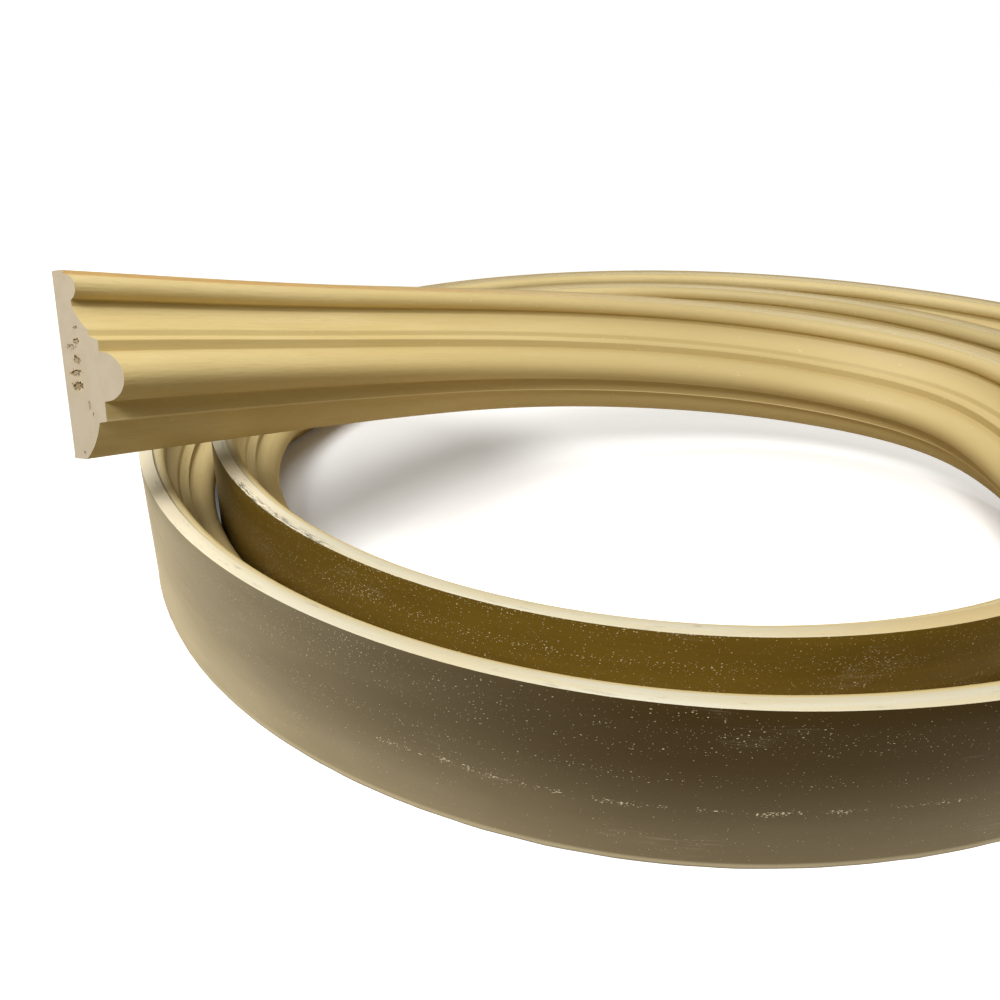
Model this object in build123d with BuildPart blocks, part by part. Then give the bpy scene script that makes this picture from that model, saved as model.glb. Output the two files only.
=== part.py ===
from build123d import *
import os
import math

os.makedirs("parts", exist_ok=True)

# Dado rail in one length of flexible moulding, coiled loosely and standing on its lower edge.
# Millimetres, +Z up. The flat back faces outward and the moulded face looks to the middle.
# The origin is on the floor under the middle of the coil; +Y is away from the viewer.

# Section of the rail: depths are from the flat back, heights from the lower edge.
rail_height = 60.0
rail_depth = 30.0
top_flat = 5.7              # flat strip along the upper edge
top_fillet_foot = 58.4      # narrow upright face under it ends here
bead_depth = 10.9           # small bead, at its furthest from the back
bead_height = 54.9
groove_depth = 8.1          # upright bottom of the groove under the bead
groove_top = 50.8
cove_top = 49.2
cove_mid_depth = 10.6
cove_mid_height = 45.2
cove_lip_depth = 14.4
cove_lip_height = 41.8
cove_foot_depth = 15.2
cove_foot_height = 39.5
fillet_depth = 19.2         # flat bands above and below the large bead
upper_fillet_top = 38.4
torus_top = 34.8            # large bead, half an ellipse as deep as the rail
torus_foot = 19.3
lower_fillet_foot = 12.9
ovolo_top_depth = 15.4
ovolo_top_height = 12.4
ovolo_mid_depth = 12.2
ovolo_mid_height = 6.0
bottom_flat = 6.3           # flat strip along the lower edge

# Level turns, clockwise seen from above: radius of the back in each sixth of a turn.
join_x = 126.8              # foot of the back where the free run comes down to the floor
join_y = -121.4
join_heading = -120.0       # direction of travel there, degrees from +X
arc_turn = 60.0
arc_radii = [217.7, 195.7, 222.4, 273.0, 203.3, 244.7, 286.4, 219.6, 260.9, 321.4, 270.9]
tail_radius = 270.9
tail_turn = 32.0

# Free run, from the join back to the sawn end: foot of the back, and lean of the wall
# in degrees, positive where its upper edge leans to the middle of the coil.
run_points = [
    (145.3, -54.5, 6.0, 2.5),
    (134.0, 2.5, 14.0, 4.9),
    (78.9, 47.2, 18.6, 2.7),
    (-14.8, 50.8, 28.4, -0.5),
    (-98.7, 26.3, 38.7, -2.0),
    (-172.2, -25.0, 51.9, -4.9),
    (-233.6, -90.4, 68.4, -8.1),
    (-284.3, -158.2, 86.5, -9.7),
]
sawn_end_direction = (-0.57, -0.79, 0.21)


def section_at(x, y, heading):
    # upright plane across the rail; its first axis points inward, to the right of the heading
    a = math.radians(heading)
    across = Plane(
        origin=(x, y, 0),
        x_dir=(math.sin(a), -math.cos(a), 0),
        z_dir=(-math.cos(a), -math.sin(a), 0),
    )
    with BuildSketch(across) as section:
        with BuildLine():
            Polyline(
                (bottom_flat, 0),
                (0, 0),
                (0, rail_height),
                (top_flat, rail_height),
                (top_flat, top_fillet_foot),
            )
            ThreePointArc(
                (top_flat, top_fillet_foot),
                (bead_depth, bead_height),
                (groove_depth, groove_top),
            )
            Line((groove_depth, groove_top), (groove_depth, cove_top))
            ThreePointArc(
                (groove_depth, cove_top),
                (cove_mid_depth, cove_mid_height),
                (cove_lip_depth, cove_lip_height),
            )
            Polyline(
                (cove_lip_depth, cove_lip_height),
                (cove_foot_depth, cove_foot_height),
                (fillet_depth, upper_fillet_top),
                (fillet_depth, torus_top),
            )
            EllipticalCenterArc(
                (fillet_depth, (torus_top + torus_foot) / 2),
                rail_depth - fillet_depth,
                (torus_top - torus_foot) / 2,
                start_angle=-90,
                arc_size=180,
            )
            Polyline(
                (fillet_depth, torus_foot),
                (fillet_depth, lower_fillet_foot),
                (ovolo_top_depth, ovolo_top_height),
            )
            ThreePointArc(
                (ovolo_top_depth, ovolo_top_height),
                (ovolo_mid_depth, ovolo_mid_height),
                (bottom_flat, 0),
            )
        make_face()
    return section.sketch


def upper_edge(foot_route, point, lean):
    # where the back's upper edge is, above a point of its foot, with the wall leaning
    along = foot_route.tangent_at(foot_route.param_at_point(point))
    level = Vector(along.X, along.Y, 0).normalized()
    inward = Vector(-level.Y, level.X, 0)
    square_up = along.cross(inward)
    if square_up.Z < 0:
        square_up = square_up * -1
    a = math.radians(lean)
    return point + (inward * math.sin(a) + square_up * math.cos(a)) * rail_height


with BuildPart() as dado_rail:
    # level turns, one arc after another
    x = join_x
    y = join_y
    heading = join_heading
    arcs = [(radius, arc_turn) for radius in arc_radii]
    arcs += [(tail_radius, tail_turn)]
    for radius, turn in arcs:
        a = math.radians(heading)
        centre_x = x + radius * math.sin(a)
        centre_y = y - radius * math.cos(a)
        downward_axis = Axis((centre_x, centre_y, 0), (0, 0, -1))
        revolve(section_at(x, y, heading), axis=downward_axis, revolution_arc=turn)
        heading -= turn
        a = math.radians(heading)
        x = centre_x - radius * math.sin(a)
        y = centre_y + radius * math.cos(a)

    # free run: the foot of the back leads and its upper edge keeps the section upright
    a = math.radians(join_heading)
    backward = (-math.cos(a), -math.sin(a), 0)
    foot_points = [Vector(join_x, join_y, 0)]
    foot_points += [Vector(px, py, pz) for px, py, pz, lean in run_points]
    leans = [0.0] + [lean for px, py, pz, lean in run_points]
    with BuildLine(mode=Mode.PRIVATE) as foot_line:
        foot_route = Spline(*foot_points, tangents=[backward, sawn_end_direction], tangent_scalars=[1, 1])
    head_points = [upper_edge(foot_route, p, lean) for p, lean in zip(foot_points, leans)]
    with BuildLine(mode=Mode.PRIVATE) as head_line:
        head_route = Spline(*head_points, tangents=[backward, sawn_end_direction], tangent_scalars=[1, 1])
    first_section = section_at(join_x, join_y, join_heading)
    sweep(first_section, path=foot_line.line, binormal=head_line.line.edge())

box = dado_rail.part.bounding_box()
middle = Location((-(box.min.X + box.max.X) / 2, -(box.min.Y + box.max.Y) / 2, 0))
rail = dado_rail.part.moved(middle)
rail.label = "dado_rail"
export_step(rail, "parts/dado_rail.step")
print("volume", rail.volume, "box", box.min, box.max, "solids", len(rail.solids()))
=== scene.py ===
import math

import bpy
import numpy as np
from mathutils import Matrix, Vector


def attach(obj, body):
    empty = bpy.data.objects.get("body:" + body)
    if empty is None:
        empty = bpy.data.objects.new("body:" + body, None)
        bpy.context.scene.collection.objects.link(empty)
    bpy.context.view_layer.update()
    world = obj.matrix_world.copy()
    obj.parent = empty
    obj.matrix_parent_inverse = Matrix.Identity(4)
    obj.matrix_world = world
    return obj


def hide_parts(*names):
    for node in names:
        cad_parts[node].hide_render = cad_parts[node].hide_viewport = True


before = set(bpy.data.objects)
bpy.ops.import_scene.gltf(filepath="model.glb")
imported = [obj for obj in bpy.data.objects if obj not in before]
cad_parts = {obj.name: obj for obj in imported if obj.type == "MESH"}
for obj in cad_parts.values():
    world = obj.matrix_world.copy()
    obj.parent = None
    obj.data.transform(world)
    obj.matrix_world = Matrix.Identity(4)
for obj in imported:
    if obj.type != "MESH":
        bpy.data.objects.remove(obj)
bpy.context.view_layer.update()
print("frame loaded")


class Wire:
    # one output socket of a node tree; arithmetic on it adds Math nodes
    def __init__(self, tree, socket):
        self.tree = tree
        self.socket = socket

    def maths(self, operation, *terms):
        return put(self.tree, "ShaderNodeMath", dict(enumerate(terms)), operation=operation)

    def __add__(self, other):
        return self.maths("ADD", self, other)

    def __mul__(self, other):
        return self.maths("MULTIPLY", self, other)

    def __sub__(self, other):
        return self.maths("SUBTRACT", self, other)

    def __truediv__(self, other):
        return self.maths("DIVIDE", self, other)

    def __neg__(self):
        return self.maths("MULTIPLY", self, -1.0)

    def __abs__(self):
        return self.maths("ABSOLUTE", self)

    def __lt__(self, other):
        return self.maths("LESS_THAN", self, other)

    def __gt__(self, other):
        return self.maths("GREATER_THAN", self, other)

    def root(self):
        return self.maths("SQRT", self)

    def larger(self, other):
        return self.maths("MAXIMUM", self, other)

    def ramp(self, low, high):
        # nought below low, one above high, smooth between; low may be the higher of the two
        return put(self.tree, "ShaderNodeMapRange", {"Value": self, "From Min": low, "From Max": high},
                   interpolation_type="SMOOTHSTEP")

    def share(self, low, high, amount):
        return self.ramp(low, high) * amount

    def noise(self, scale, detail=2.0, roughness=0.5):
        return put(self.tree, "ShaderNodeTexNoise",
                   {"Vector": self, "Scale": scale, "Detail": detail, "Roughness": roughness}, out="Fac")

    def mottle(self, scale, detail=2.0, roughness=0.5):
        # noise with its own scale along the rail, through its depth and up its height
        stretched = put(self.tree, "ShaderNodeVectorMath", {0: self, 1: scale}, operation="MULTIPLY")
        return stretched.noise(1.0, detail, roughness)

    def tint(self, colour, amount):
        return mixed(self.tree, self, colour, amount)


def put(tree, kind, values=None, out=0, **settings):
    # any node by its type, settings and socket values; gives back one of its outputs
    node = tree.nodes.new(kind)
    for name, value in settings.items():
        setattr(node, name, value)
    for key, value in (values or {}).items():
        socket = node.inputs[key] if isinstance(key, int) else next(
            s for s in node.inputs if s.name == key and s.enabled)
        if isinstance(value, Wire):
            tree.links.new(value.socket, socket)
        else:
            socket.default_value = value
    if isinstance(out, int):
        return Wire(tree, node.outputs[out])
    return Wire(tree, next(s for s in node.outputs if s.name == out and s.enabled))


def mixed(tree, first, second, amount):
    # a colour between two others, the second of them where the amount is one
    return put(tree, "ShaderNodeMix", {"Factor": amount, "A": first, "B": second}, out="Result",
               data_type="RGBA")


def newMaterial(name, colour, **shader):
    material = bpy.data.materials.new(name)
    material.use_nodes = True
    material.diffuse_color = colour
    tree = material.node_tree
    surface = tree.nodes["Principled BSDF"]
    for socket, value in shader.items():
        surface.inputs[socket.replace("_", " ")].default_value = value
    return material, tree, surface


def stockPlace(tree):
    # a point's place in the straight, uncoiled rail: along it, from its back, from its lower edge
    place = put(tree, "ShaderNodeAttribute", out="Vector", attribute_name="stock")
    parts = [put(tree, "ShaderNodeSeparateXYZ", {0: place}, out=axis) for axis in "XYZ"]
    return place, parts[0], parts[1], parts[2]


def join(tree, wire, socket):
    tree.links.new(wire.socket, socket)


def bumped(tree, surface, height, distance):
    normal = put(tree, "ShaderNodeBump", {"Height": height, "Distance": distance, "Strength": 1.0})
    join(tree, normal, surface.inputs["Normal"])


# Rail: the section of the moulding, as depth from the flat back and height from the lower edge.
rail = {
    "height": 0.060,
    "depth": 0.030,
    "topFlat": 0.0057,
    "topFilletFoot": 0.0584,
    "bead": (0.0109, 0.0549),
    "groove": (0.0081, 0.0508, 0.0492),
    "coveMiddle": (0.0106, 0.0452),
    "coveLip": (0.0144, 0.0418),
    "coveFoot": (0.0152, 0.0395),
    "filletDepth": 0.0192,
    "upperFilletTop": 0.0384,
    "torusTop": 0.0348,
    "torusFoot": 0.0193,
    "lowerFilletFoot": 0.0129,
    "ovoloTop": (0.0154, 0.0124),
    "ovoloMiddle": (0.0122, 0.0060),
    "bottomFlat": 0.0063,
    "edgeRounding": 0.00035,
    "cornerShare": 0.4,
    "sharpBend": math.radians(24),
    "smoothBend": math.radians(30),
    "backSteps": 8,
    "beadSteps": 14,
    "coveSteps": 8,
    "torusSteps": 18,
    "ovoloSteps": 9,
    "lipHeight": 0.0008,
    "lipDepth": 0.0009,
    "ringSpacing": 0.005,
    "seed": 4.0,
}


def throughThree(a, b, c, count):
    # points of the circular arc from a by b to c, both ends included
    (ax, ay), (bx, by), (cx, cy) = a, b, c
    aa, bb, cc = ax**2 + ay**2, bx**2 + by**2, cx**2 + cy**2
    d = 2 * (ax * (by - cy) + bx * (cy - ay) + cx * (ay - by))
    ux = (aa * (by - cy) + bb * (cy - ay) + cc * (ay - by)) / d
    uy = (aa * (cx - bx) + bb * (ax - cx) + cc * (bx - ax)) / d
    radius = math.hypot(ax - ux, ay - uy)
    start, middle, end = (math.atan2(y - uy, x - ux) for x, y in (a, b, c))
    turn = (end - start) % math.tau
    if (middle - start) % math.tau > turn:
        turn -= math.tau
    angles = [start + turn * k / count for k in range(count + 1)]
    return [(ux + radius * math.cos(angle), uy + radius * math.sin(angle)) for angle in angles]


def sectionOutline(r):
    torusMiddle = (r["torusTop"] + r["torusFoot"]) / 2
    torusHalf = (r["torusTop"] - r["torusFoot"]) / 2
    reach = r["depth"] - r["filletDepth"]
    torus = [(r["filletDepth"] + reach * math.sin(a), torusMiddle + torusHalf * math.cos(a))
             for a in (math.pi * k / r["torusSteps"] for k in range(r["torusSteps"] + 1))]
    grooveDepth, grooveTop, coveTop = r["groove"]
    beadTop = (r["topFlat"], r["topFilletFoot"])
    return (
        [(0, 0), (0, r["lipHeight"]), (0, 2 * r["lipHeight"])]
        + [(0, r["height"] * k / r["backSteps"]) for k in range(1, r["backSteps"])]
        + [(0, r["height"]), (r["topFlat"], r["height"])]
        + throughThree(beadTop, r["bead"], (grooveDepth, grooveTop), r["beadSteps"])
        + throughThree((grooveDepth, coveTop), r["coveMiddle"], r["coveLip"], r["coveSteps"])
        + [r["coveFoot"], (r["filletDepth"], r["upperFilletTop"])]
        + torus
        + [(r["filletDepth"], r["lowerFilletFoot"])]
        + throughThree(r["ovoloTop"], r["ovoloMiddle"], (r["bottomFlat"], 0), r["ovoloSteps"])
    )


def softened(outline, r):
    # each corner with more of a bend than the arcs have is cut by a short round
    points = []
    for k, here in enumerate(outline):
        p, q = Vector(here), Vector(outline[k - 1])
        n = Vector(outline[(k + 1) % len(outline)])
        before, after = q - p, n - p
        if math.pi - before.angle(after) < r["sharpBend"]:
            points.append(p)
            continue
        reach = min(r["edgeRounding"], r["cornerShare"] * min(before.length, after.length))
        start, end = p + before.normalized() * reach, p + after.normalized() * reach
        points += [start, start * 0.25 + p * 0.5 + end * 0.25, end]
    return points


# Route: the foot of the back, from the sawn end down to the floor and round the level turns.
route = {
    "join": (0.1268, -0.1214),
    "joinHeading": -120.0,
    "radii": (0.2177, 0.1957, 0.2224, 0.2730, 0.2033, 0.2447, 0.2864, 0.2196, 0.2609, 0.3214, 0.2709),
    "turn": 60.0,
    "tail": (0.2709, 32.0),
    "freeRun": (
        (0.1453, -0.0545, 0.0060, 2.5),
        (0.1340, 0.0025, 0.0140, 4.9),
        (0.0789, 0.0472, 0.0186, 2.7),
        (-0.0148, 0.0508, 0.0284, -0.5),
        (-0.0987, 0.0263, 0.0387, -2.0),
        (-0.1722, -0.0250, 0.0519, -4.9),
        (-0.2336, -0.0904, 0.0684, -8.1),
        (-0.2843, -0.1582, 0.0865, -9.7),
    ),
    "sawnDirection": (-0.57, -0.79, 0.21),
    "boxMiddle": (0.0002075, 0.002650, 0.0),
    "sampling": 0.002,
}


class SmoothLine:
    # one smooth cubic through the given points, with its direction fixed at both ends
    fineSteps = 2000

    def __init__(self, points, startDirection, endDirection):
        self.points = np.array(points)
        steps = np.linalg.norm(np.diff(self.points, axis=0), axis=1)
        self.places = np.concatenate(([0.0], np.cumsum(steps)))
        count = len(self.points)
        left = np.eye(count)
        right = np.zeros((count, 3))
        right[0], right[-1] = startDirection, endDirection
        for k in range(1, count - 1):
            h0, h1 = steps[k - 1], steps[k]
            left[k, k - 1:k + 2] = h1, 2 * (h0 + h1), h0
            right[k] = 3 * (h0 * (self.points[k + 1] - self.points[k]) / h1
                            + h1 * (self.points[k] - self.points[k - 1]) / h0)
        self.slopes = np.linalg.solve(left, right)

    def at(self, place):
        k = min(max(int(np.searchsorted(self.places, place)) - 1, 0), len(self.points) - 2)
        h = self.places[k + 1] - self.places[k]
        t = (place - self.places[k]) / h
        p0, p1, m0, m1 = self.points[k], self.points[k + 1], self.slopes[k] * h, self.slopes[k + 1] * h
        point = ((2 * t**3 - 3 * t**2 + 1) * p0 + (t**3 - 2 * t**2 + t) * m0
                 + (3 * t**2 - 2 * t**3) * p1 + (t**3 - t**2) * m1)
        slope = (6 * (t * t - t) * (p0 - p1) + (3 * t * t - 4 * t + 1) * m0
                 + (3 * t * t - 2 * t) * m1) / h
        return Vector(point), Vector(slope).normalized()

    def spread(self, spacing):
        # points and directions at even distances along the line
        fine = np.linspace(0, self.places[-1], self.fineSteps)
        spots = np.array([self.at(s)[0] for s in fine])
        run = np.concatenate(([0.0], np.cumsum(np.linalg.norm(np.diff(spots, axis=0), axis=1))))
        count = round(run[-1] / spacing)
        return [self.at(s) for s in np.interp(np.linspace(0, run[-1], count + 1), run, fine)]


def upDirection(direction):
    # square to the rail's direction, in the upright plane through it
    inward = Vector((-direction.y, direction.x, 0)).normalized()
    up = direction.cross(inward)
    return inward, up if up.z > 0 else -up


def routePoints(r, height):
    # each point of the route with the wall's lean there, positive to the middle of the coil
    heading = math.radians(r["joinHeading"])
    backward = Vector((-math.cos(heading), -math.sin(heading), 0))
    feet = [Vector((*r["join"], 0))] + [Vector(p[:3]) for p in r["freeRun"]]
    leans = [0.0] + [math.radians(p[3]) for p in r["freeRun"]]
    sawn = Vector(r["sawnDirection"])
    footLine = SmoothLine(feet, backward, sawn.normalized())
    heads = []
    for place, foot, lean in zip(footLine.places, feet, leans):
        inward, up = upDirection(footLine.at(place)[1])
        heads.append(foot + (inward * math.sin(lean) + up * math.cos(lean)) * height)
    headLine = SmoothLine(heads, backward, sawn.normalized())
    footSpots = footLine.spread(r["sampling"])
    headSpots = headLine.spread(headLine.places[-1] / (len(footSpots) - 1))
    found = []
    for k, (foot, direction) in enumerate(footSpots):
        head = headSpots[min(k, len(headSpots) - 1)][0]
        inward, up = upDirection(direction)
        rise = head - foot
        found.append((foot, math.atan2(rise.dot(inward), rise.dot(up))))
    found.reverse()
    spot = Vector((*r["join"], 0))
    for radius, turn in [(radius, r["turn"]) for radius in r["radii"]] + [r["tail"]]:
        centre = spot + Vector((math.sin(heading), -math.cos(heading), 0)) * radius
        count = round(math.radians(turn) * radius / r["sampling"])
        for k in range(1, count + 1):
            h = heading - math.radians(turn) * k / count
            found.append((centre + Vector((-math.sin(h), math.cos(h), 0)) * radius, 0.0))
        heading -= math.radians(turn)
        spot = found[-1][0]
    middle = Vector(r["boxMiddle"])
    return [(point - middle, lean) for point, lean in found]


def curveObject(name, points, tilts=None, closed=False):
    curve = bpy.data.curves.new(name, "CURVE")
    curve.dimensions = "3D"
    curve.twist_mode = "Z_UP"
    spline = curve.splines.new("POLY")
    spline.points.add(len(points) - 1)
    spline.points.foreach_set("co", np.array([(*p, 1.0) for p in points], float).ravel())
    if tilts:
        spline.points.foreach_set("tilt", np.array(tilts, float))
    spline.use_cyclic_u = closed
    made = bpy.data.objects.new(name, curve)
    bpy.context.scene.collection.objects.link(made)
    return made


# Colours are linear, as the shader takes them. A Noise entry holds a scale per metre, a detail and a roughness.
# Two numbers are where a tone begins and where it is full, and a third is its amount. A Stretch entry holds
# four places along the rail: where a tone begins, is full, fades and ends.
resin = {
    "face": (0.69, 0.535, 0.235, 1),
    "shade": (0.55, 0.41, 0.16, 1),
    "pale": (0.76, 0.61, 0.30, 1),
    "fillet": (0.72, 0.47, 0.18, 1),
    "rubbed": (0.60, 0.52, 0.33, 1),
    "hollowShade": (0.36, 0.25, 0.075, 1),
    "highlightAndNicks": (0.88, 0.74, 0.42, 1),
    "shadedTone": (0.47, 0.365, 0.165, 1),
    "cloudNoise": ((9, 60, 60), 3),
    "streakNoise": ((14, 500, 500), 4, 0.6),
    "dragNoise": ((110, 1300, 1300), 3, 0.6),
    "nickNoise": ((300, 900, 900), 1),
    "grainNoise": (1700, 3, 0.65),
    "paleClouds": (0.30, 0.75),
    "shadeByStreak": (0.50, 0.78, 0.30),
    "shadeByGrain": (0.55, 0.80, 0.22),
    "shadeByDrag": (0.52, 0.75, 0.30),
    # painted shade on two stretches of the face that turn towards the key lamp
    "shadedStretches": ((0.14, 0.36, 0.75, 0.85), (1.50, 1.70, 2.10, 2.20)),
    "paintedShadeAmount": 0.62,
    # painted highlight along the lower fillet's edge; the pale nicks take the same colour
    "highlightHeight": 0.0130,
    "highlightEdge": (0.0006, 0.0002, 0.8),
    "nicks": (0.76, 0.80, 0.5),
    "topFillet": (0.0583, 0.0586, 0.8),
    "filletTone": (0.42, 0.05),
    "roughness": {"streak": 0.16, "grain": 0.10, "least": 0.40},
    "relief": {"grain": 0.6, "streak": 0.8, "drag": 0.5, "depth": 0.00009},
    "sawnDrag": (0.45, 0.05, 1.2),
    # painted shade in the hollows of the moulding: middle height, half height, amount
    "hollows": (
        (0.0500, 0.0016, 0.55),
        (0.0364, 0.0024, 0.42),
        (0.0161, 0.0038, 0.26),
        (0.0405, 0.0012, 0.25),
    ),
}


def stretch(along, begins, full, fades, ends):
    # one between two places along the rail, and nought outside them
    return along.ramp(begins, full) * along.ramp(ends, fades)


def faceMaterial(look):
    material, tree, surface = newMaterial(
        "mouldedFace", look["face"], Roughness=0.48, Specular_IOR_Level=0.32)
    place, along, depth, height = stockPlace(tree)
    cloud = place.mottle(*look["cloudNoise"])
    streak = place.mottle(*look["streakNoise"])
    drag = place.mottle(*look["dragNoise"])
    grain = place.noise(*look["grainNoise"])
    base = mixed(tree, look["face"], look["pale"], cloud.ramp(*look["paleClouds"]))
    # painted shade: two stretches of the face that turn towards the key lamp are darkened
    for places in look["shadedStretches"]:
        base = base.tint(look["shadedTone"], stretch(along, *places) * look["paintedShadeAmount"])
    shade = streak.share(*look["shadeByStreak"]) + grain.share(*look["shadeByGrain"])
    base = base.tint(look["shade"], shade + drag.share(*look["shadeByDrag"]))
    # painted shade: the hollows of the moulding are darkened
    for middle, half, amount in look["hollows"]:
        base = base.tint(look["hollowShade"], abs(height - middle).share(half, half / 2, amount))
    # painted highlight: a pale line along the lower fillet's edge, with pale nicks in the same colour
    highlightAndNicks = abs(height - look["highlightHeight"]).share(*look["highlightEdge"])
    nick = place.mottle(*look["nickNoise"]).share(*look["nicks"])
    base = base.tint(look["highlightAndNicks"], highlightAndNicks + nick)
    topFillet = height.share(*look["topFillet"])
    base = base.tint(look["rubbed"], topFillet)
    base = base.tint(look["fillet"], topFillet * along.ramp(*look["filletTone"]))
    join(tree, base, surface.inputs["Base Color"])
    rough, relief = look["roughness"], look["relief"]
    roughness = streak * rough["streak"] + grain * rough["grain"] + rough["least"]
    join(tree, roughness, surface.inputs["Roughness"])
    # the saw dragged the face a little near the sawn end
    dragged = drag * (along.share(*look["sawnDrag"]) + relief["drag"])
    raised = grain * relief["grain"] + streak * relief["streak"] + dragged
    bumped(tree, surface, raised, relief["depth"])
    return material


back = {
    "deep": (0.100, 0.058, 0.006, 1),
    "light": (0.160, 0.098, 0.012, 1),
    "speck": (0.72, 0.64, 0.44, 1),
    "bloom": (0.30, 0.25, 0.18, 1),
    "outer": (0.044, 0.026, 0.009, 1),
    "edge": (0.045, 0.030, 0.014, 1),
    "sheenTone": (0.50, 0.43, 0.28, 1),
    "cloudNoise": ((7, 1, 26), 4, 0.6),
    "wipeNoise": ((10, 1, 420), 3, 0.6),
    "bandNoise": ((2.2, 1, 110), 3, 0.6),
    "patchNoise": ((24, 1, 60), 2),
    "fleckNoise": ((1150, 1, 2300), 1.5),
    "bloomNoise": ((60, 1, 1500), 3, 0.6),
    "wanderNoise": ((22, 0, 0), 2),
    "breakNoise": ((70, 0, 0), 3, 0.7),
    "lightByCloud": (0.30, 0.75, 0.70),
    "lightByWipe": (0.45, 0.75, 0.25),
    "bloomStreaks": (0.48, 0.75),
    "bloomPatches": (0.58, 0.74, 0.8),
    "rowHeight": 0.0232,
    "rowHalf": 0.0018,
    "rowWander": 0.006,
    "rowStretch": (2.24, 2.27, 2.48, 2.53),
    "rowBreaks": (0.40, 0.60),
    "speckBands": (0.46, 0.66, 0.05),
    "speckPatches": (0.48, 0.68, 0.032),
    "speckInner": (1.70, 1.30, 0.03),
    "speckRow": 0.19,
    "speckFloor": 0.715,
    "speckEdge": 0.035,
    "speckAmount": 0.9,
    # painted shade on the back of the outer turn
    "outerTurn": (2.00, 2.25),
    "outerAmount": 0.88,
    # painted sheen along the outer turn's foot and towards one end
    "sheenAtFoot": (0.042, 0.0, 0.24),
    "sheenAtSide": (2.40, 2.68, 0.78),
    "sheenByCloud": (0.20, 0.80, 0.5),
    "sheenLeast": 0.7,
    "sheenEnd": (3.20, 2.92),
    # painted highlight along the lower rim
    "rim": (0.0026, 0.0012),
    "rimByWipe": 0.6,
    "rimLeast": 0.3,
    "footLine": (0.0010, 0.0006, 0.8),
    "footWander": 0.0004,
    "roughness": {"wipe": 0.14, "specks": 0.3, "least": 0.25},
    "relief": {"wipe": 0.4, "specks": 0.6, "cloud": 0.5, "depth": 0.00006},
}


def backMaterial(look):
    material, tree, surface = newMaterial(
        "flatBack", look["deep"], Roughness=0.40, Specular_IOR_Level=0.28)
    place, along, depth, height = stockPlace(tree)
    cloud = place.mottle(*look["cloudNoise"])
    wipe = place.mottle(*look["wipeNoise"])
    band = place.mottle(*look["bandNoise"])
    patch = place.mottle(*look["patchNoise"])
    fleck = place.mottle(*look["fleckNoise"])
    bloom = place.mottle(*look["bloomNoise"]).ramp(*look["bloomStreaks"])
    bloom = bloom * patch.share(*look["bloomPatches"])
    # one broken row of specks runs along the outer turn
    wander = (place.mottle(*look["wanderNoise"]) - 0.5) * look["rowWander"]
    row = abs(height + wander - look["rowHeight"]).ramp(look["rowHalf"], 0.0)
    row = row * stretch(along, *look["rowStretch"])
    row = row * place.mottle(*look["breakNoise"]).ramp(*look["rowBreaks"])
    crowd = band.share(*look["speckBands"]) + patch.share(*look["speckPatches"])
    crowd = crowd + along.share(*look["speckInner"]) + row * look["speckRow"]
    specks = (fleck + crowd - look["speckFloor"]).ramp(0.0, look["speckEdge"])
    lighter = cloud.share(*look["lightByCloud"]) + wipe.share(*look["lightByWipe"])
    base = mixed(tree, look["deep"], look["light"], lighter)
    # painted shade darkens the back of the outer turn; painted sheen lightens it along its lower edge, and more
    # to one side
    outer = along.ramp(*look["outerTurn"])
    paintedSheen = height.share(*look["sheenAtFoot"]) * outer + along.share(*look["sheenAtSide"])
    paintedSheen = paintedSheen * (cloud.share(*look["sheenByCloud"]) + look["sheenLeast"])
    paintedSheen = paintedSheen * along.ramp(*look["sheenEnd"])
    base = base.tint(look["outer"], outer * look["outerAmount"]).tint(look["sheenTone"], paintedSheen)
    # a painted highlight along the rim at the foot, and a thin dark line at the foot
    rim = height.ramp(*look["rim"]) * (wipe * look["rimByWipe"] + look["rimLeast"])
    foot = (height + cloud * look["footWander"]).share(*look["footLine"])
    base = base.tint(look["sheenTone"], rim).tint(look["edge"], foot)
    base = base.tint(look["bloom"], bloom).tint(look["speck"], specks * look["speckAmount"])
    join(tree, base, surface.inputs["Base Color"])
    rough, relief = look["roughness"], look["relief"]
    roughness = wipe * rough["wipe"] + specks * rough["specks"] + rough["least"]
    join(tree, roughness, surface.inputs["Roughness"])
    raised = wipe * relief["wipe"] + specks * relief["specks"] + cloud * relief["cloud"]
    bumped(tree, surface, raised, relief["depth"])
    return material


strip = {
    "cream": (0.62, 0.580, 0.45, 1),
    "warm": (0.60, 0.530, 0.35, 1),
    "scuff": (0.30, 0.28, 0.24, 1),
    "mark": (0.080, 0.085, 0.100, 1),
    "aged": (0.56, 0.42, 0.19, 1),
    "paintedLight": (0.86, 0.77, 0.56, 1),
    "cloudNoise": ((16, 300, 300), 3),
    "smearNoise": ((70, 420, 420), 4, 0.7),
    "dashNoise": ((190, 1500, 0), 3, 0.65),
    "grainNoise": (2600, 2, 0.6),
    "warmClouds": (0.30, 0.70),
    "agedAmount": 0.85,
    "agedStretches": (
        (-0.20, -0.10, 0.82, 0.92),
        (1.34, 1.46, 2.00, 2.08),
        (2.84, 2.96, 3.80, 3.90),
    ),
    # painted light on two stretches of the strip near the crossing, in the free run's shadow
    "paintedLightAmount": 0.80,
    "paintedLightStretches": ((1.03, 1.10, 1.20, 1.30), (2.50, 2.62, 2.74, 2.84)),
    "scuffBySmear": (0.58, 0.74, 0.55),
    "scuffByGrain": (0.62, 0.80, 0.20),
    "markDashes": (0.46, 0.58, 0.85),
    "markStretch": (1.025, 1.045, 1.095, 1.115),
    "markHeight": (0.0590, 0.0599),
    "markDepth": (0.0034, 0.0012),
    "relief": {"smear": 0.5, "depth": 0.00006},
}


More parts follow.
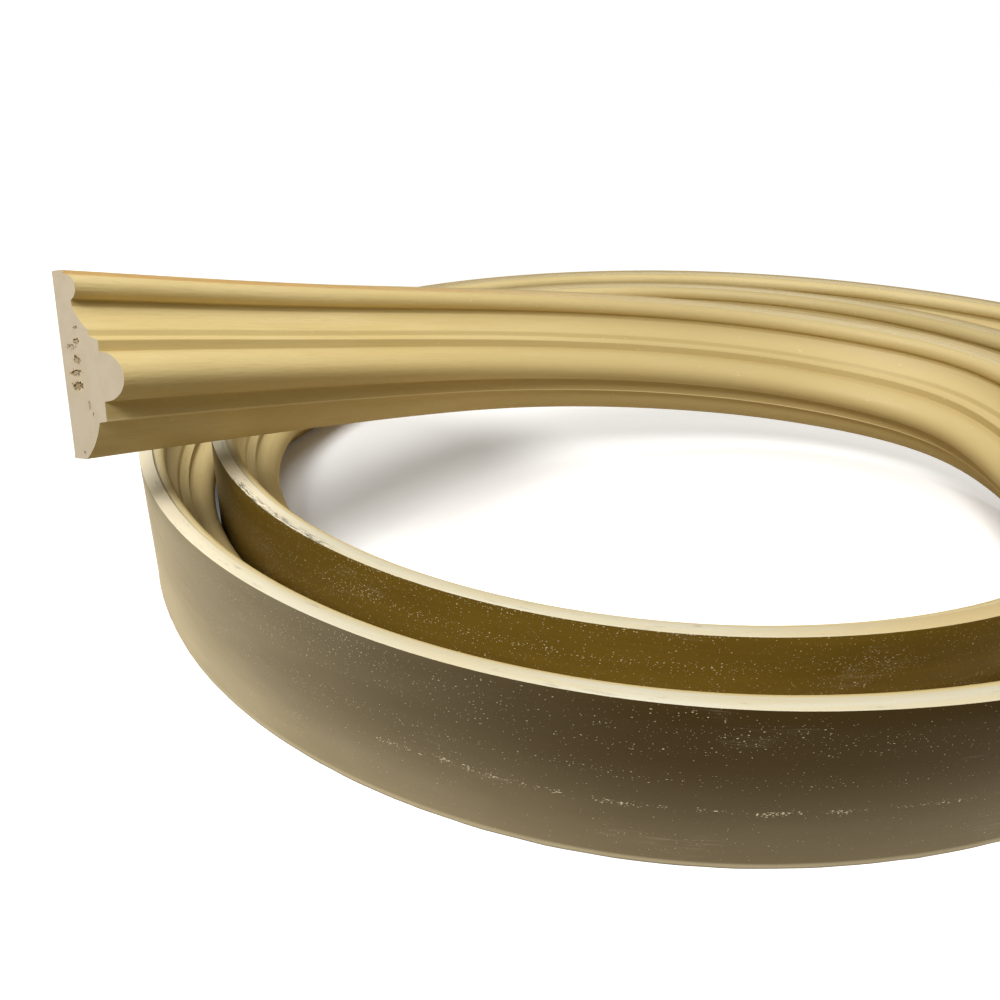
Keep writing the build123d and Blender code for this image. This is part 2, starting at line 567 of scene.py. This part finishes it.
def stripMaterial(look):
    material, tree, surface = newMaterial(
        "sandedStrip", look["cream"], Roughness=0.62, Specular_IOR_Level=0.25)
    place, along, depth, height = stockPlace(tree)
    smear = place.mottle(*look["smearNoise"])
    grain = place.noise(*look["grainNoise"])
    cloud = place.mottle(*look["cloudNoise"])
    base = mixed(tree, look["cream"], look["warm"], cloud.ramp(*look["warmClouds"]))
    # painted light lightens the stretches under the free run, where its shadow falls
    for tone in ("aged", "paintedLight"):
        for places in look[tone + "Stretches"]:
            base = base.tint(look[tone], stretch(along, *places) * look[tone + "Amount"])
    scuffed = smear.share(*look["scuffBySmear"]) + grain.share(*look["scuffByGrain"])
    base = base.tint(look["scuff"], scuffed)
    # dark rubbed dashes along the back edge, on one stretch of the inner turn
    rubbed = height.ramp(*look["markHeight"]) * depth.ramp(*look["markDepth"])
    rubbed = rubbed * stretch(along, *look["markStretch"])
    dashes = place.mottle(*look["dashNoise"]).share(*look["markDashes"])
    base = base.tint(look["mark"], dashes * rubbed)
    join(tree, base, surface.inputs["Base Color"])
    bumped(tree, surface, grain + smear * look["relief"]["smear"], look["relief"]["depth"])
    return material


cut = {
    "pale": (0.52, 0.445, 0.33, 1),
    "dark": (0.42, 0.345, 0.235, 1),
    "stain": (0.60, 0.44, 0.20, 1),
    "rim": (0.15, 0.085, 0.030, 1),
    "hollow": (0.31, 0.225, 0.12, 1),
    "grainNoise": (2200, 3, 0.6),
    "cloudNoise": (160, 2),
    "raggedNoise": (950, 3, 0.6),
    "darkByCloud": (0.30, 0.70, 0.30),
    "darkByGrain": (0.50, 0.75, 0.45),
    "raggedness": 2.6,
    "inside": (1.0, 0.5),
    "rimInner": (0.35, 0.75),
    "rimOuter": (1.20, 0.90),
    "rimSide": (-0.1, 0.7),
    "rimTowards": {"up": 0.8, "across": 0.5},
    "halo": (2.0, 1.0, 0.35),
    "relief": {"grain": 0.08, "depth": 0.0012},
    # casting voids: middle by depth and by height, half width, half height, how deep each looks
    "voids": (
        (0.0086, 0.0423, 0.0011, 0.0006, 0.5),
        (0.0082, 0.0381, 0.0015, 0.0010, 0.7),
        (0.0052, 0.0363, 0.0021, 0.0010, 0.3),
        (0.0074, 0.0324, 0.0017, 0.0013, 0.6),
        (0.0062, 0.0282, 0.0028, 0.0010, 0.7),
        (0.0064, 0.0240, 0.0025, 0.0014, 1.0),
        (0.0113, 0.0178, 0.0004, 0.0017, 0.5),
        (0.0126, 0.0149, 0.0003, 0.0008, 0.5),
        (0.0058, 0.0022, 0.0005, 0.0005, 0.6),
    ),
}


def cutMaterial(look):
    material, tree, surface = newMaterial(
        "sawnFace", look["pale"], Roughness=0.85, Specular_IOR_Level=0.15)
    place, along, depth, height = stockPlace(tree)
    grain = place.noise(*look["grainNoise"])
    cloud = place.noise(*look["cloudNoise"])
    darker = cloud.share(*look["darkByCloud"]) + grain.share(*look["darkByGrain"])
    base = mixed(tree, look["pale"], look["dark"], darker)
    ragged = (place.noise(*look["raggedNoise"]) - 0.5) * look["raggedness"]
    hollow, rim, halo = 0.0, 0.0, 0.0
    for middleDepth, middleHeight, wide, tall, deep in look["voids"]:
        across, up = (depth - middleDepth) / wide, (height - middleHeight) / tall
        reach = (across * across + up * up).root() + ragged
        # painted shade darkens the inside of each void
        hollow = reach.share(*look["inside"], deep).larger(hollow)
        # the dark rim is a crescent on the upper side, where the hollow is in shade
        upper = up * look["rimTowards"]["up"] - across * look["rimTowards"]["across"]
        edge = reach.ramp(*look["rimInner"]) * reach.ramp(*look["rimOuter"])
        rim = (edge * upper.share(*look["rimSide"], deep)).larger(rim)
        halo = (reach.share(*look["halo"]) * deep).larger(halo)
    base = base.tint(look["stain"], halo).tint(look["hollow"], hollow).tint(look["rim"], rim)
    join(tree, base, surface.inputs["Base Color"])
    bumped(tree, surface, grain * look["relief"]["grain"] - hollow, look["relief"]["depth"])
    return material


# How near a point is to the back or an edge to be part of it, and how uneven the lip is.
zone = {
    "within": 0.0002,
    "lipWithin": 0.0004,
    "lipFoot": 0.0001,
    "lipSpread": 1.5,
    "lipScale": 90.0,
    "lipDetail": 3.0,
    "lipFloor": 0.3,
    "fewestCapCorners": 4,
}


def stored(tree, geometry, name, value, kind):
    return put(tree, "GeometryNodeStoreNamedAttribute",
               {"Geometry": geometry, "Name": name, "Value": value}, data_type=kind, domain="POINT")


def recalled(tree, name, kind):
    return put(tree, "GeometryNodeInputNamedAttribute", {"Name": name}, out="Attribute", data_type=kind)


def sweepTree(materials):
    tree = bpy.data.node_groups.new("railSweep", "GeometryNodeTree")
    tree.interface.new_socket(name="Route", in_out="INPUT", socket_type="NodeSocketGeometry")
    tree.interface.new_socket(name="Section", in_out="INPUT", socket_type="NodeSocketObject")
    for name in ("Ring Spacing", "Rail Height", "Lip Height", "Lip Depth", "Seed"):
        tree.interface.new_socket(name=name, in_out="INPUT", socket_type="NodeSocketFloat")
    tree.interface.new_socket(name="Rail", in_out="OUTPUT", socket_type="NodeSocketGeometry")
    entry = tree.nodes.new("NodeGroupInput")
    given = {s.name: Wire(tree, s) for s in entry.outputs if s.name}
    line = put(tree, "GeometryNodeResampleCurve",
               {"Curve": given["Route"], "Length": given["Ring Spacing"]}, mode="LENGTH")
    line = put(tree, "GeometryNodeSetCurveNormal", {"Curve": line}, mode="Z_UP")
    length = put(tree, "GeometryNodeSplineParameter", out="Length")
    line = stored(tree, line, "run", length, "FLOAT")
    section = put(tree, "GeometryNodeObjectInfo", {"Object": given["Section"]}, out="Geometry")
    spot = put(tree, "GeometryNodeInputPosition")
    section = stored(tree, section, "spot", spot, "FLOAT_VECTOR")
    body = put(tree, "GeometryNodeCurveToMesh",
               {"Curve": line, "Profile Curve": section, "Fill Caps": True})
    run = recalled(tree, "run", "FLOAT")
    across = recalled(tree, "spot", "FLOAT_VECTOR")
    depth = put(tree, "ShaderNodeSeparateXYZ", {0: across}, out="X")
    height = -put(tree, "ShaderNodeSeparateXYZ", {0: across}, out="Y")
    stock = put(tree, "ShaderNodeCombineXYZ", {"X": run, "Y": depth, "Z": height})
    body = stored(tree, body, "stock", stock, "FLOAT_VECTOR")
    # a thin uneven lip along the lower back edge, where the mould was filled
    grain = {"Vector": stock, "W": given["Seed"], "Scale": zone["lipScale"], "Detail": zone["lipDetail"]}
    waver = put(tree, "ShaderNodeTexNoise", grain, out="Fac", noise_dimensions="4D")
    outward = put(tree, "GeometryNodeInputNormal")
    reach = (waver - zone["lipFloor"]).larger(0.0) * given["Lip Depth"]
    offset = put(tree, "ShaderNodeVectorMath", {0: outward, "Scale": reach}, operation="SCALE")
    lip = (depth < zone["lipWithin"]) * (height > zone["lipFoot"])
    lip = lip * (height < given["Lip Height"] * zone["lipSpread"])
    body = put(tree, "GeometryNodeSetPosition", {"Geometry": body, "Selection": lip, "Offset": offset})
    corners = put(tree, "GeometryNodeInputMeshFaceNeighbors", out="Vertex Count")
    onBack = depth < zone["within"]
    onEdges = (height > given["Rail Height"] - zone["within"]).larger(height < zone["within"])
    onCaps = corners > zone["fewestCapCorners"]
    body = put(tree, "GeometryNodeSetMaterial", {"Geometry": body, "Material": materials[0]})
    for selection, material in zip((onBack, onEdges, onCaps), materials[1:]):
        body = put(tree, "GeometryNodeSetMaterial",
                   {"Geometry": body, "Selection": selection, "Material": material})
    body = put(tree, "GeometryNodeRealizeInstances", {"Geometry": body})
    leave = tree.nodes.new("NodeGroupOutput")
    join(tree, body, leave.inputs["Rail"])
    return tree


def settled(made, tree, values):
    # gives the tree its inputs, and turns the result into a plain mesh
    modifier = made.modifiers.new("sweep", "NODES")
    modifier.node_group = tree
    for item in tree.interface.items_tree:
        if item.in_out == "INPUT" and item.name in values:
            modifier[item.identifier] = values[item.name]
    bpy.context.view_layer.update()
    graph = bpy.context.evaluated_depsgraph_get()
    mesh = bpy.data.meshes.new_from_object(
        made.evaluated_get(graph), preserve_all_data_layers=True, depsgraph=graph)
    made.modifiers.remove(modifier)
    return mesh


points = routePoints(route, rail["height"])
routeLine = curveObject("railRoute", [p for p, lean in points], [lean for p, lean in points])
outline = softened(sectionOutline(rail), rail)
sectionLine = curveObject("railSection", [(d, -h, 0.0) for d, h in outline], closed=True)
tree = sweepTree([faceMaterial(resin), backMaterial(back), stripMaterial(strip), cutMaterial(cut)])
mesh = settled(routeLine, tree, {
    "Section": sectionLine,
    "Ring Spacing": rail["ringSpacing"],
    "Rail Height": rail["height"],
    "Lip Height": rail["lipHeight"],
    "Lip Depth": rail["lipDepth"],
    "Seed": rail["seed"],
})
mesh.name = "dadoRail"
mesh.polygons.foreach_set("use_smooth", [True] * len(mesh.polygons))
mesh.set_sharp_from_angle(angle=rail["smoothBend"])
dadoRail = bpy.data.objects.new("dadoRail", mesh)
bpy.context.scene.collection.objects.link(dadoRail)
for helper in (routeLine, sectionLine):
    bpy.data.objects.remove(helper)
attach(dadoRail, "root")
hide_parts("dado_rail")
print("rail swept", len(mesh.polygons), "faces", [m.name for m in mesh.materials])


# Floor: white to the camera, with the coil's shadow on it. To the coil it is a pale warm sheet under it.
floorLook = {
    "albedo": 0.90,
    "warm": (1.0, 0.86, 0.60, 1),
    "sheetMiddle": (-0.07, 0.03, 0.0),
    "sheetEdge": (0.40, 0.27),
    "diffuseBounce": 0.42,
    "glossyBounce": 0.95,
    "beyond": 0.03,
    "lift": (0.03, 0.40),
    "darkSpot": (-0.19, 0.03, 0.0),
    "darkReach": (0.065, 0.15),
    "whiteOut": (0.45, 1.1),
    "reach": 6.0,
}


def distanceFrom(tree, spot, middle):
    return put(tree, "ShaderNodeVectorMath", {0: spot, 1: middle}, out="Value", operation="DISTANCE")


def floorMaterial(look):
    pale = (look["albedo"],) * 3 + (1,)
    material, tree, surface = newMaterial("paper", pale, Roughness=0.9, Specular_IOR_Level=0.1)
    seen = put(tree, "ShaderNodeLightPath", out="Is Camera Ray")
    glossy = put(tree, "ShaderNodeLightPath", out="Is Glossy Ray")
    spot = put(tree, "ShaderNodeTexCoord", out="Object")
    sheet = distanceFrom(tree, spot, look["sheetMiddle"]).ramp(*look["sheetEdge"])
    mirrored = look["glossyBounce"] - look["diffuseBounce"]
    bounce = sheet * (glossy * mirrored + look["diffuseBounce"]) + look["beyond"]
    shade = mixed(tree, (0, 0, 0, 1), look["warm"], bounce)
    join(tree, shade.tint(pale, seen), surface.inputs["Base Color"])
    distance = put(tree, "ShaderNodeVectorMath", {0: spot}, out="Value", operation="LENGTH")
    low, high = look["lift"]
    lift = distanceFrom(tree, spot, look["darkSpot"]).ramp(*look["darkReach"]) * (high - low) + low
    glow = put(tree, "ShaderNodeEmission",
               {"Color": (1, 1, 1, 1), "Strength": seen * (distance.ramp(*look["whiteOut"]) + lift)})
    both = put(tree, "ShaderNodeAddShader", {0: Wire(tree, surface.outputs[0]), 1: glow})
    join(tree, both, tree.nodes["Material Output"].inputs["Surface"])
    return material


floorMesh = bpy.data.meshes.new("floor")
r = floorLook["reach"]
floorMesh.from_pydata([(-r, -r, 0), (r, -r, 0), (r, r, 0), (-r, r, 0)], [], [(0, 1, 2, 3)])
floorMesh.materials.append(floorMaterial(floorLook))
floor = bpy.data.objects.new("floor", floorMesh)
bpy.context.scene.collection.objects.link(floor)
print("floor laid")


# Lamps: place, size and power of each. The key stands at the left front, and a weaker one hangs above.
light = {
    "world": 0.13,
    "worldTint": (1.0, 0.86, 0.58, 1),
    "key": (Vector((-0.57, -0.99, 1.02)), 0.50, 20.5),
    "above": (Vector((-0.05, -0.20, 1.45)), 0.90, 8.0),
}


def areaLamp(name, place, size, energy):
    # looks at the middle of the floor under the coil
    data = bpy.data.lights.new(name, "AREA")
    data.shape = "SQUARE"
    data.size = size
    data.energy = energy
    lamp = bpy.data.objects.new(name, data)
    lamp.location = place
    lamp.rotation_euler = (-place).to_track_quat("-Z", "Y").to_euler()
    bpy.context.scene.collection.objects.link(lamp)


areaLamp("key", *light["key"])
areaLamp("above", *light["above"])
world = bpy.data.worlds.new("studio")
bpy.context.scene.world = world
world.use_nodes = True
sky = world.node_tree
seen = put(sky, "ShaderNodeLightPath", out="Is Camera Ray")
join(sky, seen * (1.0 - light["world"]) + light["world"], sky.nodes["Background"].inputs["Strength"])
join(sky, mixed(sky, light["worldTint"], (1, 1, 1, 1), seen), sky.nodes["Background"].inputs["Color"])
print("lamps set")


# Camera: its place and lens are fitted to the photograph, whose middle is off the lens's axis.
view = {
    "place": (-0.180208, -0.432650, 0.201266),
    "pitch": 32.7146,
    "roll": 0.4401,
    "focal": 0.848419,
    "principal": (0.380952, 0.602768),
    "sensor": 36.0,
    "nearest": 0.01,
}
lens = bpy.data.cameras.new("camera")
lens.sensor_width = view["sensor"]
lens.lens = view["focal"] * view["sensor"]
lens.shift_x = 0.5 - view["principal"][0]
lens.shift_y = view["principal"][1] - 0.5
lens.clip_start = view["nearest"]
camera = bpy.data.objects.new("camera", lens)
camera.matrix_world = (Matrix.Translation(view["place"])
                       @ Matrix.Rotation(math.radians(90 - view["pitch"]), 4, "X")
                       @ Matrix.Rotation(math.radians(-view["roll"]), 4, "Z"))
bpy.context.scene.collection.objects.link(camera)
bpy.context.scene.camera = camera
bpy.context.scene.view_settings.view_transform = "Standard"
print("camera set")
